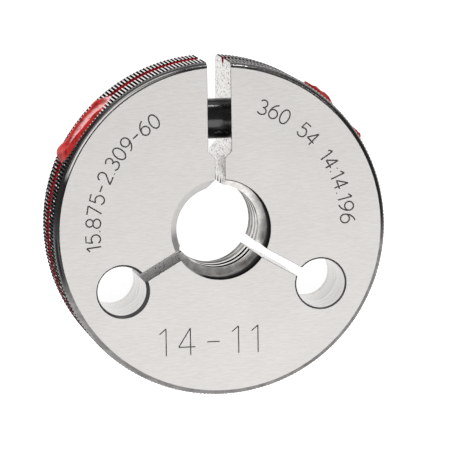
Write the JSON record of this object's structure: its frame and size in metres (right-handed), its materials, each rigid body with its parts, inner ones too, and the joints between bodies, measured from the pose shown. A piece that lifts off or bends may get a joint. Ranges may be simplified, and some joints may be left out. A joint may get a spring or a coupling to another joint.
{
  "type": "thread ring gauge",
  "caption": "Adjustable thread ring gauge: knurled steel ring with a threaded bore, flex slots with round ends, an open adjusting slot and a wax-sealed locking device.",
  "frame": {"origin": "on the thread's axis in the plane of the back face, on which the gauge lies flat", "axes": "+Z along the thread's axis out of the front face, +Y towards the open adjusting slot, +X to the right as seen from the front"},
  "size_m": [0.054, 0.0539, 0.0143],
  "materials": {
    "hardened_steel": "lapped faces with fine straight grain, knurled rim",
    "black_oxide_steel": "black oxide",
    "sealing_wax": "red sealing wax, glossy"
  },
  "bodies": {
    "root": {"gauge_ring": "hardened_steel", "alignment_sleeve": "black_oxide_steel", "adjusting_screw": "black_oxide_steel", "locking_screw": "black_oxide_steel", "locking_screw_seal": "sealing_wax", "adjusting_screw_seal": "sealing_wax"}
  },
  "joints": []
}
